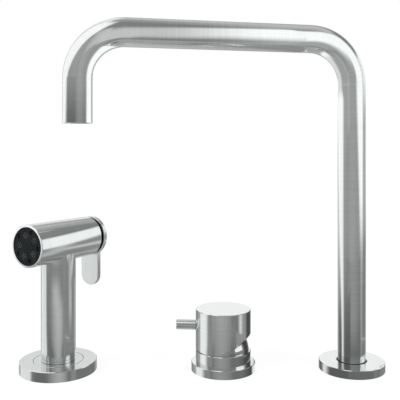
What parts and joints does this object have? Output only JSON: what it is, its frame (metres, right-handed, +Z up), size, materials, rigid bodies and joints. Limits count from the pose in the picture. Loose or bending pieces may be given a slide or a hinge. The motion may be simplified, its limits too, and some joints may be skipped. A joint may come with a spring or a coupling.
{
  "type": "pull-out kitchen faucet",
  "caption": "Deck-mounted kitchen tap set: tall swivel spout of bent round tube, low mixer with a slant-cut lever cap, and a pull-out hand spray with a squeeze plate.",
  "frame": {"origin": "on the worktop's upper face, on the axis of the spout's leg", "axes": "+Z up; the mixer and the spray stand along -X; the user stands on the -Y side"},
  "size_m": [0.3313, 0.1078, 0.3685],
  "materials": {
    "satin_steel": "satin, brushed round",
    "polished_steel": "polished",
    "plain_steel": "plain machined",
    "brass": "turned, unplated",
    "black_plastic": "moulded, fine grain",
    "white_plastic": "moulded, matt",
    "rubber": "matt",
    "ceramic": "lapped ceramic"
  },
  "bodies": {
    "worktop_units": {"spout_base": "brass", "spout_spigot": "brass", "spout_flange": "satin_steel", "spout_o_rings": "rubber", "spout_base_seal": "rubber", "mixer_body": "satin_steel", "mixer_flange": "satin_steel", "mixer_base_seal": "rubber", "dome_cover": "polished_steel", "cartridge_housing": "black_plastic", "cartridge_base": "white_plastic", "port_seals": "rubber", "fixed_disc": "ceramic", "cartridge_nut": "brass", "spray_flange": "satin_steel", "spray_holder": "satin_steel", "holder_liner": "white_plastic", "spray_base_seal": "rubber", "clamping_gaskets": "rubber", "clamping_washers": "plain_steel", "clamping_nuts": "brass"},
    "spout": {"spout_tube": "satin_steel", "foot_sleeve": "brass", "thrust_bush": "white_plastic", "guide_bush": "white_plastic", "spout_screw": "plain_steel", "aerator_housing": "polished_steel", "aerator_insert": "white_plastic", "aerator_seal": "rubber"},
    "carrier": {"cartridge_carrier": "white_plastic", "cross_pin": "plain_steel"},
    "disc": {"moving_disc": "ceramic", "disc_driver": "white_plastic"},
    "lever": {"cartridge_spindle": "brass", "lever_cap": "satin_steel", "lever_pin": "satin_steel", "lever_screw": "plain_steel"},
    "connector": {"hose_connector": "brass", "swivel_ring": "plain_steel", "swivel_o_ring": "rubber"},
    "spray": {"spray_body": "satin_steel", "stem_foot": "brass", "riser_tube": "white_plastic", "valve_housing": "black_plastic", "rear_plug": "black_plastic", "plunger_seal": "rubber", "valve_spring": "plain_steel", "spray_face": "black_plastic", "face_seal": "rubber", "trigger_pin": "plain_steel"},
    "plunger": {"valve_plunger": "brass", "valve_seal": "rubber"},
    "trigger": {"trigger_plate": "satin_steel"}
  },
  "joints": [
    {"name": "spout_swivel", "type": "hinge", "parent": "worktop_units", "child": "spout", "pos_m": [0, 0, 0], "axis": [0, 0, 1], "continuous": true},
    {"name": "lever_turn", "type": "hinge", "parent": "worktop_units", "child": "carrier", "pos_m": [-0.117, 0, 0.0175], "axis": [0, 0, 1], "range_deg": [-45, 45]},
    {"name": "lever_tilt", "type": "hinge", "parent": "carrier", "child": "lever", "pos_m": [-0.117, 0, 0.0175], "axis": [0.0872, 0.9962, 0], "range_deg": [0, 25]},
    {"name": "disc_slide", "type": "slide", "parent": "carrier", "child": "disc", "axis": [-0.9962, 0.0872, 0], "range_m": [0, 0.0034]},
    {"name": "spray_lift", "type": "slide", "parent": "worktop_units", "child": "connector", "axis": [0, 0, 1], "range_m": [0, 0.08]},
    {"name": "spray_turn", "type": "hinge", "parent": "connector", "child": "spray", "pos_m": [-0.2665, 0, 0], "axis": [0, 0, 1], "continuous": true},
    {"name": "trigger_squeeze", "type": "hinge", "parent": "spray", "child": "trigger", "pos_m": [-0.24716, 0.03095, 0.1275], "axis": [-0.848, 0.5299, 0], "range_deg": [0, 6], "stiffness_Nm_per_rad": 1.2, "springref_deg": -14.32},
    {"name": "plunger_slide", "type": "slide", "parent": "spray", "child": "plunger", "axis": [-0.5299, -0.848, 0], "range_m": [0, 0.00125], "deforming": ["valve_spring"]}
  ],
  "couplings": [
    {"joint": "disc_slide", "follows": "lever_tilt", "m_per_rad": 0.007749},
    {"joint": "plunger_slide", "follows": "trigger_squeeze", "m_per_rad": 0.011756}
  ]
}
